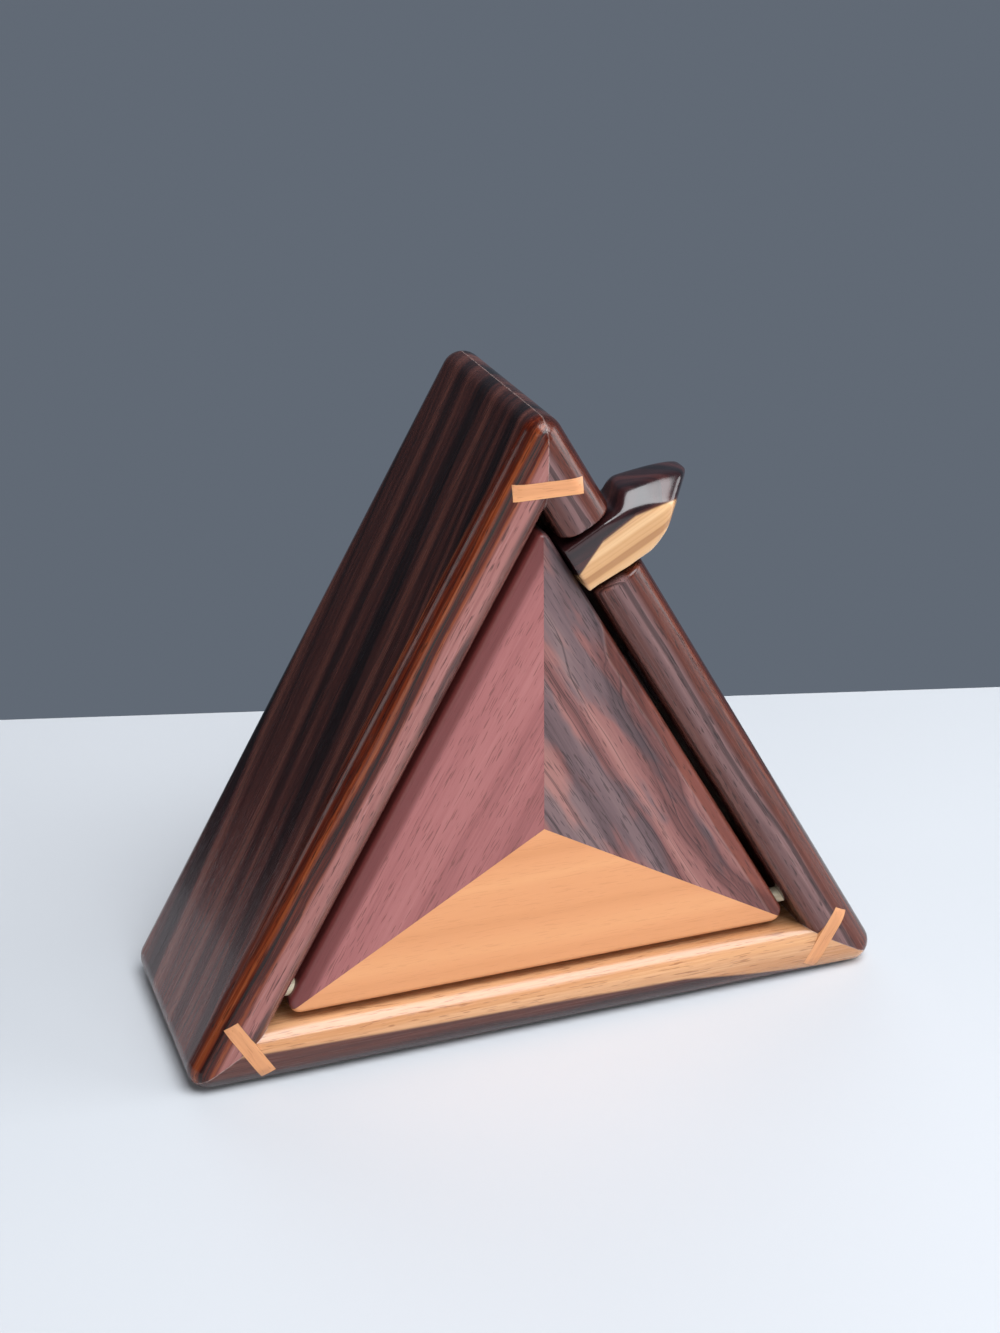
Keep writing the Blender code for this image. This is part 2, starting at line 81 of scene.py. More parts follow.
# The lever's outline in mm: along the right board from its top, and inward from its outer face
LEVER_HOOK = [(27.4, 1.5), (27.3, -0.4), (26.7, -1.6), (26.0, -2.7)]
LEVER_TOP = [(25.5, -3.7), (26.3, -5.9), (28.0, -10.3), (29.5, -13.4), (31.2, -16.0), (32.5, -17.4)]
LEVER_FOOT = [(33.8, -16.4), (35.2, -13.0), (36.3, -9.0), (37.1, -6.0), (37.9, -3.9), (38.4, -2.3)]
LEVER_ROOT = (37.4, 10.0)
LEVER_FRONT, LEVER_BACK = 0.45 * MM, 13.9 * MM
# Its facets: a point (x, depth, z) in mm, and the direction that each faces
LEVER_FACETS = (
    ((0, 0.45, 105.5), (-0.119, -0.680, 0.723)),
    ((15.5, 2.5, 109.98), (-0.271, -0.660, 0.701)),
    ((19.5, 2.5, 110.64), (0.041, -0.685, 0.728)),
    ((22.9, 12.0, 112.5), (-0.119, 0.680, 0.723)),
    ((22.8, 0.45, 99.4), (0.834, -0.510, -0.209)),
)
# A wedge cut off the near wall of its head, wider at the back: outlines (x, z) in mm at two depths
HOOK_WEDGE = (
    (1.5, [(8.0, 107.9), (13.6, 107.9), (16.0, 113.1), (8.0, 113.1)]),
    (15.0, [(8.0, 107.9), (15.5, 107.9), (17.9, 113.1), (8.0, 113.1)]),
)
# The edge of its pale sapwood in mm, as stretches from (x, z) to (x, z)
LEVER_SAP = (((6.5, 97.6), (10.8, 103.2)), ((10.8, 103.2), (16.7, 107.0)), ((16.7, 107.2), (23.9, 109.3)))
LEVER_VOXEL = 0.22 * MM
RUB_PASSES, WEAR_PASSES = 24, 170
WEAR_START, WEAR_FADE = 3.0 * MM, 6.0 * MM     # inward from the board's outer face
TONGUE_FRONT, TONGUE_RADIUS, ARM_END = 10.7 * MM, 5 * MM, 12.1 * MM
PIVOT_ALONG, PIVOT_INWARD = 32.4 * MM, 15.5 * MM
BORE_END = 22 * MM
TIE_RADIUS, TIE_OFFSET = 0.75 * MM, 3.1 * MM
TIE_DIRECTION = Vector((-0.5, 0, -math.sqrt(3) / 2))   # from the pivot, down along the left board
BAR_BACK = 17.4 * MM

SCREW_RADIUS, SCREW_TIP = 1.0 * MM, 5.2 * MM
WASHER_RADIUS, WASHER_THICKNESS = 2.9 * MM, 0.5 * MM
HEAD_RADIUS, HEAD_THICKNESS, HEAD_RIM = 2.1 * MM, 1.6 * MM, 0.5 * MM
BRASS_EASE = 0.1 * MM
SLOT_HALF_LENGTH, SLOT_HALF_WIDTH, SLOT_FLOOR, SLOT_TOP = 3 * MM, 0.25 * MM, 0.8 * MM, 4 * MM

KEPT_EASE, KEPT_ANGLE = 0.35 * MM, math.radians(40)

TABLE_REACH = 1.6
TABLE_EDGE = ((-0.0825, 0.1608), (0.1707, 0.0875))     # two points of the table's far edge
LIGHT_AIM = Vector((0, 0, 0.05))
CAMERA_PLACE = (-138.65 * MM, -396.30 * MM, 253.70 * MM)
CAMERA_TURN = (66.216, 0.556, -19.462)                 # tilt, roll and pan in degrees
CAMERA_LENS = 62.3


# ---------------------------------------------------------------- shapes

def turned(degrees):
    """Turns the bottom board's place in the triangle to another board's."""
    turn = Matrix.Rotation(-math.radians(degrees), 4, "Y")
    return Matrix.Translation(CENTRE) @ turn @ Matrix.Translation(-CENTRE)


def on_right_board(along, inward):
    """A point at the front, so far down the right board and in from its outer face."""
    return turned(RIGHT) @ Vector((SIDE / 2 - along, FRONT, inward))


def arc(centre, radius, start, end, steps):
    """Points on an arc, from one angle in degrees to another."""
    angles = [math.radians(start + (end - start) * i / steps) for i in range(steps + 1)]
    return [(centre[0] + radius * math.cos(a), centre[1] + radius * math.sin(a)) for a in angles]


def rounded(corners, radii, steps):
    """An outline whose corners are rounded, each by its own radius."""
    points = []
    for i, corner in enumerate(corners):
        before = (Vector(corners[i - 1]) - Vector(corner)).normalized()
        after = (Vector(corners[(i + 1) % len(corners)]) - Vector(corner)).normalized()
        half = before.angle(after) / 2
        centre = Vector(corner) + (before + after).normalized() * radii[i] / math.sin(half)
        start = math.degrees(math.atan2(-before.x, before.y)) + 180
        points += arc(centre, radii[i], start, start + 180 - math.degrees(2 * half), steps)
    return points


def triangle(margin, bottom, radii, steps=10):
    """The outer triangle's outline, with a margin off its upper sides and another off its base."""
    tip = HEIGHT - 2 * margin
    half = (tip - bottom) / math.sqrt(3)
    return rounded([(-half, bottom), (half, bottom), (0, tip)], radii, steps)


def rectangle(left, right, low, high):
    return [(left, low), (right, low), (right, high), (left, high)]


def add(name, data):
    item = bpy.data.objects.new(name, data)
    bpy.context.scene.collection.objects.link(item)
    return item


def add_shape(name, shape):
    """Turns a bmesh into an object in the scene."""
    mesh = bpy.data.meshes.new(name)
    shape.to_mesh(mesh)
    shape.free()
    return add(name, mesh)


def loft(name, rings, matrix=None):
    """A closed solid through rings of points that match one another, with flat ends."""
    shape = bmesh.new()
    rows = [[shape.verts.new(point) for point in ring] for ring in rings]
    count = len(rows[0])
    for a, b in zip(rows, rows[1:]):
        for i in range(count):
            j = (i + 1) % count
            shape.faces.new((a[i], a[j], b[j], b[i]))
    shape.faces.new(rows[0])
    shape.faces.new(rows[-1])
    if matrix is not None:
        bmesh.ops.transform(shape, matrix=matrix, verts=shape.verts)
    bmesh.ops.recalc_face_normals(shape, faces=shape.faces)
    return add_shape(name, shape)


def prism(name, outline, low, high, degrees=0, along="Y"):
    """An outline in X and Z drawn out along Y, or one in Y and Z drawn out along X."""
    if along == "Y":
        rings = [[(x, y, z) for x, z in outline] for y in (low, high)]
    else:
        rings = [[(x, y, z) for y, z in outline] for x in (low, high)]
    return loft(name, rings, turned(degrees))


def soft_prism(name, outline_at, low, high, front, back, steps):
    """A prism whose front and back edges are rounded; outline_at gives the outline at an inset."""
    angles = [math.radians(90 * i / steps) for i in range(steps + 1)]
    rings = [(low + front * (1 - math.sin(a)), front * (1 - math.cos(a))) for a in reversed(angles)]
    rings += [(high - back * (1 - math.sin(a)), back * (1 - math.cos(a))) for a in angles]
    return loft(name, [[(x, y, z) for x, z in outline_at(inset)] for y, inset in rings])


def lathe(name, profile, place, sides=48, ring=False):
    """A turned piece about a line along Y; the profile is (depth from the front, radius).

    A ring's profile closes on itself; any other piece has a point or a flat face at each end.
    """
    shape = bmesh.new()
    turns = [2 * math.pi * i / sides for i in range(sides)]
    rows = []
    for depth, radius in profile:
        rows.append([
            shape.verts.new((place.x + radius * math.cos(t), FRONT + depth, place.z + radius * math.sin(t)))
            for t in (turns if radius else turns[:1])
        ])
    for a, b in zip(rows, rows[1:] + rows[:1] if ring else rows[1:]):
        for i in range(sides):
            j = (i + 1) % sides
            corners = [a[i % len(a)], a[j % len(a)], b[j % len(b)], b[i % len(b)]]
            shape.faces.new(list(dict.fromkeys(corners)))
    for row in (() if ring else (rows[0], rows[-1])):
        if len(row) > 1:
            shape.faces.new(row)
    bmesh.ops.recalc_face_normals(shape, faces=shape.faces)
    return add_shape(name, shape)


def pin_bar(name, sign, radius, inner=PIN_INNER, chamfer=0.0, sides=48):
    """A round bar where a hinge pin lies, with eased ends if it has a chamfer."""
    start, end = sorted((sign * inner, sign * PIN_OUTER))
    stations = [(start, radius), (end, radius)]
    if chamfer:
        stations = [(start, radius - chamfer), (start + chamfer, radius),
                    (end - chamfer, radius), (end, radius - chamfer)]
    rings = []
    for x, r in stations:
        circle = arc((FRONT + PIN_DEPTH, PIN_HEIGHT), r, 0, 360 - 360 / sides, sides - 1)
        rings.append([(x, y, z) for y, z in circle])
    return loft(name, rings)


def half_space(name, point, outward):
    """A block that takes away everything on the outward side of a plane."""
    outward = Vector(outward).normalized()
    turn = outward.to_track_quat("Z", "Y").to_matrix().to_4x4()
    shape = bmesh.new()
    bmesh.ops.create_cube(shape, size=SIDE)
    place = Matrix.Translation(Vector(point) + outward * SIDE / 2) @ turn
    bmesh.ops.transform(shape, matrix=place, verts=shape.verts)
    return add_shape(name, shape)


def apply_modifiers(item):
    evaluated = item.evaluated_get(bpy.context.evaluated_depsgraph_get())
    mesh = bpy.data.meshes.new_from_object(evaluated)
    old = item.data
    item.modifiers.clear()
    item.data = mesh
    bpy.data.meshes.remove(old)


def carve(item, cuts):
    """Applies exact booleans in turn; each cut is (operation, object)."""
    for operation, other in cuts:
        modifier = item.modifiers.new("cut", "BOOLEAN")
        modifier.operation = operation
        modifier.solver = "EXACT"
        modifier.object = other
    apply_modifiers(item)


def discard(items):
    for item in items:
        bpy.data.objects.remove(item, do_unlink=True)


def finish_shape(item):
    """Smooth shading that keeps flat faces flat and real edges sharp."""
    item.data.shade_smooth()
    item.data.set_sharp_from_angle(angle=SHARP_ANGLE)
    modifier = item.modifiers.new("normals", "WEIGHTED_NORMAL")
    modifier.keep_sharp = True
    modifier.weight = 100


def sector(name, degrees, low, high, gap):
    """The third of the triangle that belongs to one board, less half a gap at its mitres."""
    rise = gap / 2 / math.cos(HALF_CORNER)
    run = SIDE / 2 + REACH
    apex = CENTRE.z - rise
    drop = run / math.sqrt(3)
    outline = [(0, apex), (-run, apex - drop), (-run, -REACH), (run, -REACH), (run, apex - drop)]
    return prism(name, outline, low, high, degrees)


def spline_block(name, degrees, extra):
    """A spline, or with some extra size its slot, right through the depth of the case."""
    half_length, half_thickness = SPLINE_LENGTH / 2 + extra, SPLINE_THICKNESS / 2 + extra
    middle = CENTRE.z + SPLINE_OUT
    outline = rectangle(-half_length, half_length, middle - half_thickness, middle + half_thickness)
    return prism(name, outline, FRONT - REACH, BACK + REACH, degrees)


# ---------------------------------------------------------------- pieces

def case_outline(inset):
    radius = max(CORNER_ROUNDING - inset, LEAST_CORNER)
    return triangle(inset, inset, [radius] * 3)


def soften_notch(item):
    """Eases the rims of the notch, where hands and the lever have rubbed them."""
    back_to_board = turned(RIGHT).inverted()
    shape = bmesh.new()
    shape.from_mesh(item.data)
    bmesh.ops.remove_doubles(shape, verts=shape.verts, dist=MERGE)
    chosen = []
    for edge in shape.edges:
        ends = [back_to_board @ vert.co for vert in edge.verts]
        inner_end = all(p.y > FRONT + NOTCH_DEPTH - TOLERANCE for p in ends)
        for along in (NOTCH_NEAR, NOTCH_FAR):
            on_wall = all(abs(SIDE / 2 - along - p.x) < TOLERANCE for p in ends)
            if on_wall and not inner_end:
                chosen.append(edge)
    bmesh.ops.bevel(
        shape, geom=chosen, offset=NOTCH_EASE, segments=4, profile=0.5, affect="EDGES", clamp_overlap=True
    )
    shape.to_mesh(item.data)
    shape.free()


def board_section():
    """A board's section in Y and Z: round at the inside of its front and back, long at the outside."""
    shoulder = BOARD - EDGE_ROUNDING
    near = arc((FRONT + EDGE_ROUNDING, shoulder), EDGE_ROUNDING, 180, 90, 10)
    far = arc((BACK - EDGE_ROUNDING, shoulder), EDGE_ROUNDING, 90, 0, 10)
    section = [(FRONT - REACH, -REACH), (FRONT - REACH, shoulder)] + near
    return section + far + [(BACK + REACH, shoulder), (BACK + REACH, -REACH)]


def build_case():
    form = soft_prism("case_form", case_outline, FRONT, BACK, EDGE_ROUNDING, EDGE_ROUNDING, 10)
    section = board_section()
    slots = {name: spline_block(f"{name}_slot", degrees, JOINT) for name, degrees in SPLINES.items()}
    bores = [pin_bar(f"bore_{sign}", sign, PIN_RADIUS + TURN_GAP) for sign in (-1, 1)]
    opening = rectangle(SIDE / 2 - NOTCH_FAR, SIDE / 2 - NOTCH_NEAR, -REACH, BOARD + REACH)
    notch = prism("notch", opening, FRONT - REACH, FRONT + NOTCH_DEPTH, RIGHT)
    pieces = {}
    for name, degrees, joined in (
        ("bottom_board", BOTTOM, ("left_spline", "right_spline")),
        ("right_board", RIGHT, ("top_spline", "right_spline")),
        ("left_board", LEFT, ("top_spline", "left_spline")),
    ):
        item = prism(f"{name}_wood", section, -SIDE / 2, SIDE / 2, degrees, along="X")
        third = sector("third", degrees, FRONT - REACH, BACK + REACH, JOINT)
        cuts = [("INTERSECT", third), ("INTERSECT", form)]
        cuts += [("DIFFERENCE", slots[key]) for key in joined]
        if name != "bottom_board":
            cuts += [("DIFFERENCE", bore) for bore in bores]
        if name == "right_board":
            cuts.append(("DIFFERENCE", notch))
        carve(item, cuts)
        if name == "right_board":
            soften_notch(item)
        discard([third])
        pieces[name] = item
    for name, degrees in SPLINES.items():
        item = spline_block(f"{name}_wood", degrees, 0)
        carve(item, [("INTERSECT", form)])
        pieces[name] = item
    discard([form, notch, *slots.values(), *bores])
    return pieces


def build_door():
    def outline(inset):
        radii = [max(radius - inset, DOOR_LEAST_ROUND) for radius in (DOOR_CORNER, DOOR_CORNER, DOOR_TIP)]
        return triangle(DOOR_MARGIN + inset, DOOR_BOTTOM + inset, radii)

    form = soft_prism(
        "door_form", outline, FRONT + DOOR_FRONT, FRONT + DOOR_BACK, DOOR_ROUND, DOOR_LEAST_ROUND, 6
    )
    opening_half = (HEIGHT - 2 * BOARD - PIN_HEIGHT) / math.sqrt(3) - HEEL_CLEARANCE
    cutters = [
        half_space("heel", (sign * opening_half, FRONT + PIN_DEPTH, 0),
                   (sign * math.cos(HEEL_ANGLE), math.sin(HEEL_ANGLE), 0))
        for sign in (-1, 1)
    ]
    cutters += [
        pin_bar("bore", sign, PIN_RADIUS + TURN_GAP, PIN_INNER - PIN_END_ROOM) for sign in (-1, 1)
    ]
    pieces = {}
    for name, degrees in (("door_bottom", BOTTOM), ("door_right", RIGHT), ("door_left", LEFT)):
        item = sector(f"{name}_wood", degrees, FRONT, FRONT + 2 * DOOR_BACK, JOINT / 2)
        carve(item, [("INTERSECT", form)] + [("DIFFERENCE", cutter) for cutter in cutters])
        pieces[name] = item
    discard([form, *cutters])
    return pieces


def build_back():
    def outline(inset):
        return triangle(BACK_MARGIN + inset, BACK_MARGIN + inset, [BACK_CORNER] * 3, 2)

    form = soft_prism("back_form", outline, FRONT + BACK_FRONT, FRONT + BACK_BACK, BACK_ROUND, BACK_ROUND, 4)
    pieces = {}
    for name, degrees in (("bottom", BOTTOM), ("right", RIGHT), ("left", LEFT)):
        item = sector(f"back_panel_{name}_wood", degrees, 0, BACK + REACH, JOINT / 2)
        carve(item, [("INTERSECT", form)])
        pieces[f"back_panel_{name}"] = item
    discard([form])
    return pieces


def smooth_line(points, steps=4):
    """A Catmull-Rom curve through the points, which keeps its two ends."""
    padded = [points[0]] + points + [points[-1]]
    line = []
    for stretch in zip(padded, padded[1:], padded[2:], padded[3:]):
        p0, p1, p2, p3 = (Vector(p) for p in stretch)
        for i in range(steps):
            t = i / steps
            line.append(tuple(0.5 * (2 * p1 + (p2 - p0) * t + (2 * p0 - 5 * p1 + 4 * p2 - p3) * t ** 2
                                     + (3 * p1 - p0 - 3 * p2 + p3) * t ** 3)))
    return line + [tuple(points[-1])]


def lever_cutters():
    """The lever's facets, the room for the door in front of its tongue, its bores and its hook."""
    cutters = []
    for point, normal in LEVER_FACETS:
        x, depth, z = (value * MM for value in point)
        cutters.append(half_space("facet", (x, FRONT + depth, z), normal))
    left = SIDE / 2 - PIVOT_ALONG - 2 * TONGUE_RADIUS
    room = rectangle(left, left + 4 * TONGUE_RADIUS, ARM_END, ARM_END + 3 * TONGUE_RADIUS)
    cutters.append(prism("room", room, FRONT + LEVER_FRONT - REACH, FRONT + TONGUE_FRONT, RIGHT))
    pivot = on_right_board(PIVOT_ALONG, PIVOT_INWARD)
    for name, place, radius, start in (
        ("screw_bore", pivot, SCREW_RADIUS + SCREW_GAP, 0),
        ("tie_bore", pivot + TIE_DIRECTION * TIE_OFFSET, TIE_RADIUS + TURN_GAP, TONGUE_FRONT - REACH),
    ):
        cutters.append(lathe(name, [(start, radius), (BORE_END, radius)], place, 32))
    rings = [[(x * MM, FRONT + depth * MM, z * MM) for x, z in outline] for depth, outline in HOOK_WEDGE]
    cutters.append(loft("hook_wedge", rings))
    return cutters


def smooth_mesh(item, name, passes):
    modifier = item.modifiers.new(name, "SMOOTH")
    modifier.factor = 0.5
    modifier.iterations = passes
    return modifier


def build_lever():
    """The carved lever, cut to its facets, rubbed down to soft edges and worn rounder at its head."""
    line = smooth_line(LEVER_HOOK) + smooth_line(LEVER_TOP) + smooth_line(LEVER_FOOT) + [LEVER_ROOT]
    line = [(along * MM, inward * MM) for along, inward in line]
    line += arc((PIVOT_ALONG, PIVOT_INWARD), TONGUE_RADIUS, 0, 180, 28)
    points = [on_right_board(along, inward) for along, inward in line]
    outline = [(point.x, point.z) for point in points]
    item = prism("lever_wood", outline, FRONT + LEVER_FRONT, FRONT + LEVER_BACK)
    cutters = lever_cutters()
    carve(item, [("DIFFERENCE", cutter) for cutter in cutters])
    discard(cutters)
    remesh = item.modifiers.new("remesh", "REMESH")
    remesh.mode = "VOXEL"
    remesh.voxel_size = LEVER_VOXEL
    smooth_mesh(item, "rub", RUB_PASSES)
    apply_modifiers(item)
    back_to_board = turned(RIGHT).inverted()
    head = item.vertex_groups.new(name="head")
    for vert in item.data.vertices:
        inward = (back_to_board @ vert.co).z
        weight = min(max((WEAR_START - inward) / WEAR_FADE, 0.0), 1.0)
        if weight > 0:
            head.add([vert.index], weight, "REPLACE")
    smooth_mesh(item, "wear", WEAR_PASSES).vertex_group = head.name
    apply_modifiers(item)
    item.vertex_groups.clear()
    item.data.shade_smooth()
    return item


def build_screw(place):
    """A slotted brass screw with a domed head, behind the lever."""
    shoulder = BAR_BACK + STACK_GAP + WASHER_THICKNESS + STACK_GAP
    profile = [(SCREW_TIP, 0), (SCREW_TIP + SCREW_RADIUS, SCREW_RADIUS), (shoulder, SCREW_RADIUS)]
    profile += [(shoulder, HEAD_RADIUS - BRASS_EASE), (shoulder + BRASS_EASE, HEAD_RADIUS)]
    for i in range(8):
        angle = math.radians(90 * i / 8)
        rise = HEAD_RIM + (HEAD_THICKNESS - HEAD_RIM) * math.sin(angle)
        profile.append((shoulder + rise, HEAD_RADIUS * math.cos(angle)))
    profile.append((shoulder + HEAD_THICKNESS, 0))
    screw = lathe("brass_screw", profile, place)
    outline = rectangle(place.x - SLOT_HALF_LENGTH, place.x + SLOT_HALF_LENGTH,
                        place.z - SLOT_HALF_WIDTH, place.z + SLOT_HALF_WIDTH)
    slot = prism("driver_slot", outline, FRONT + shoulder + SLOT_FLOOR, FRONT + shoulder + SLOT_TOP)
    carve(screw, [("DIFFERENCE", slot)])
    discard([slot])
    return screw


def build_washer(name, place, depth):
    inner, outer, end = SCREW_RADIUS + SCREW_GAP, WASHER_RADIUS, depth + WASHER_THICKNESS
    profile = [
        (depth, inner), (depth, outer - BRASS_EASE), (depth + BRASS_EASE, outer),
        (end - BRASS_EASE, outer), (end, outer - BRASS_EASE), (end, inner),
    ]
    return lathe(name, profile, place, ring=True)


def build_hardware():
    """The dowels, the screw and its washers."""
    pieces = {}
    for side, sign in (("left", -1), ("right", 1)):
        pieces[f"hinge_pin_{side}"] = pin_bar(f"hinge_dowel_{side}", sign, PIN_RADIUS, chamfer=PIN_CHAMFER)
    pivot = on_right_board(PIVOT_ALONG, PIVOT_INWARD)
    pieces["pivot_screw"] = build_screw(pivot)
    for name, depth in (("pivot_washer", DOOR_BACK + STACK_GAP), ("screw_washer", BAR_BACK + STACK_GAP)):
        pieces[name] = build_washer(f"brass_{name}", pivot, depth)
    return pieces


# ---------------------------------------------------------------- materials

# Colour ramps, as (place, colour) from the darkest tone to the palest
FACE = [(0.34, (0.004, 0.001, 0.001)), (0.43, (0.018, 0.005, 0.004)), (0.52, (0.044, 0.012, 0.009)),
        (0.68, (0.105, 0.034, 0.024))]
FACE_FOOT = [(0.34, (0.030, 0.006, 0.006)), (0.46, (0.095, 0.024, 0.020)), (0.54, (0.145, 0.045, 0.036)),
             (0.68, (0.210, 0.085, 0.068))]
RED = [(0.34, (0.012, 0.002, 0.001)), (0.45, (0.065, 0.008, 0.003)), (0.54, (0.150, 0.026, 0.008)),
       (0.66, (0.300, 0.075, 0.022))]
MAROON = [(0.30, (0.012, 0.003, 0.002)), (0.43, (0.055, 0.010, 0.006)), (0.56, (0.105, 0.024, 0.013)),
          (0.72, (0.170, 0.050, 0.030))]
# The rose and the mauve ramps are painted highlights: the sheen along the middle of a dark board's front
# edge
ROSE_HIGHLIGHT = [(0.28, (0.120, 0.040, 0.036)), (0.42, (0.240, 0.088, 0.078)), (0.56, (0.320, 0.128, 0.113)),
        (0.74, (0.380, 0.170, 0.155))]
BROWN = [(0.28, (0.040, 0.012, 0.011)), (0.42, (0.110, 0.036, 0.030)), (0.56, (0.170, 0.062, 0.050)),
         (0.74, (0.240, 0.100, 0.080))]
MAUVE_HIGHLIGHT = [(0.28, (0.050, 0.022, 0.021)), (0.42, (0.125, 0.062, 0.060)), (0.56, (0.190, 0.100, 0.096)),
         (0.74, (0.270, 0.155, 0.145))]
HEARTWOOD = [(0.28, (0.010, 0.005, 0.006)), (0.45, (0.042, 0.013, 0.012)), (0.60, (0.090, 0.026, 0.018)),
             (0.75, (0.150, 0.045, 0.026))]
SAPWOOD = [(0.28, (0.40, 0.175, 0.075)), (0.45, (0.52, 0.25, 0.115)), (0.60, (0.60, 0.315, 0.155)),
           (0.75, (0.68, 0.39, 0.21))]
GREY_BROWN = [(0.24, (0.035, 0.020, 0.024)), (0.40, (0.105, 0.062, 0.066)), (0.54, (0.160, 0.098, 0.102)),
              (0.72, (0.210, 0.132, 0.130))]
EMBER = [(0.3, (0.125, 0.040, 0.036)), (0.5, (0.280, 0.108, 0.094)), (0.7, (0.385, 0.170, 0.145))]
# Red wood darkened by painted shade, for the rounded right edge of the door
EDGE_RED_SHADE = [(0.3, (0.090, 0.018, 0.011)), (0.5, (0.190, 0.042, 0.024)), (0.7, (0.270, 0.075, 0.042))]
LEVER_DARK = [(0.3, (0.008, 0.003, 0.004)), (0.5, (0.020, 0.006, 0.007)), (0.72, (0.050, 0.014, 0.013))]
LEVER_PALE = [(0.28, (0.40, 0.19, 0.075)), (0.42, (0.55, 0.295, 0.125)), (0.58, (0.62, 0.355, 0.165)),
              (0.75, (0.70, 0.43, 0.22))]
PEAR = [(0.3, (0.63, 0.262, 0.104)), (0.5, (0.70, 0.306, 0.130)), (0.7, (0.74, 0.345, 0.150))]
BLOODWOOD = [(0.25, (0.200, 0.058, 0.056)), (0.5, (0.335, 0.112, 0.108)), (0.75, (0.430, 0.165, 0.155))]
OILED_MAPLE = [(0.3, (0.58, 0.245, 0.105)), (0.5, (0.70, 0.320, 0.140)), (0.7, (0.76, 0.390, 0.190))]
BARE_MAPLE = [(0.3, (0.56, 0.42, 0.26)), (0.5, (0.66, 0.52, 0.34)), (0.7, (0.74, 0.61, 0.43))]
# Near black maple: painted shade for pieces that sit in the dark gap behind the door
SHADE_DARK_MAPLE = [(0.3, (0.020, 0.010, 0.008)), (0.5, (0.032, 0.016, 0.012)), (0.7, (0.050, 0.026, 0.018))]
BIRCH = [(0.3, (0.62, 0.50, 0.33)), (0.5, (0.74, 0.63, 0.45)), (0.7, (0.82, 0.73, 0.56))]
BRASS = [(0.3, (0.50, 0.33, 0.12)), (0.7, (0.72, 0.52, 0.24))]

INK, INK_PORE = (0.007, 0.003, 0.004), (0.006, 0.003, 0.003)
GREY_INK, GREY_PORE = (0.018, 0.010, 0.012), (0.012, 0.007, 0.006)
# Painted shadow of the case along the door's left edge, and a painted highlight line at the red band of its
# right edge
DOOR_EDGE_SHADOW, DOOR_EDGE_HIGHLIGHT = (0.125, 0.022, 0.020), (0.48, 0.33, 0.29)
SAP_PORE, LEVER_STREAK, LEVER_BROWN = (0.22, 0.075, 0.03), (0.24, 0.09, 0.035), (0.075, 0.026, 0.018)
MITRE_HAIR = (0.42, 0.30, 0.27)

# Noise scales, per metre: along the grain and across it
WARP_SCALE, FIBRE_SCALE, PORE_SCALE = (9, 45), (55, 1900), (260, 3600)
RING_WANDER = 12 * MM
BUMP_HEIGHT = 0.08 * MM
MITRE_HAIR_CORE, MITRE_HAIR_RIM = 0.08 * MM, 0.16 * MM     # off the mitre's plane
FACE_FADE = 74 * MM                            # from the middle of the left board to its foot
# Where the front edge of a dark board changes colour, inward from its outer face; its middle band is a
# painted highlight
EDGE_HIGHLIGHT, EDGE_INNER = (4.0 * MM, 5.4 * MM), (7.2 * MM, 8.8 * MM)
EDGE_DRIFT, EDGE_FADE = 3.5 * MM, 2 * MM
# The bottom board's sapwood starts at the lower of two lines: height at its middle, and fall along it
SAP_EDGES = ((5.9 * MM, 0.02), (9.0 * MM, 0.125))
SAP_DRIFT, SAP_FADE = 1.6 * MM, 0.35 * MM
# The painted shadow of the case's left board on the door's left edge, inward from the margin: where it ends,
# and where it is fully dark
SHADOW_EDGE_END, SHADOW_EDGE_FULL = 4.4 * MM, 2.6 * MM
# The red band at the door's right edge, red wood darkened by painted shade of its rounding and lined with a
# painted highlight: where it starts, from the board's middle up, and widens
BAND_TOP, BAND_FADE, BAND_WIDTH = 34 * MM, 12 * MM, 2.8 * MM


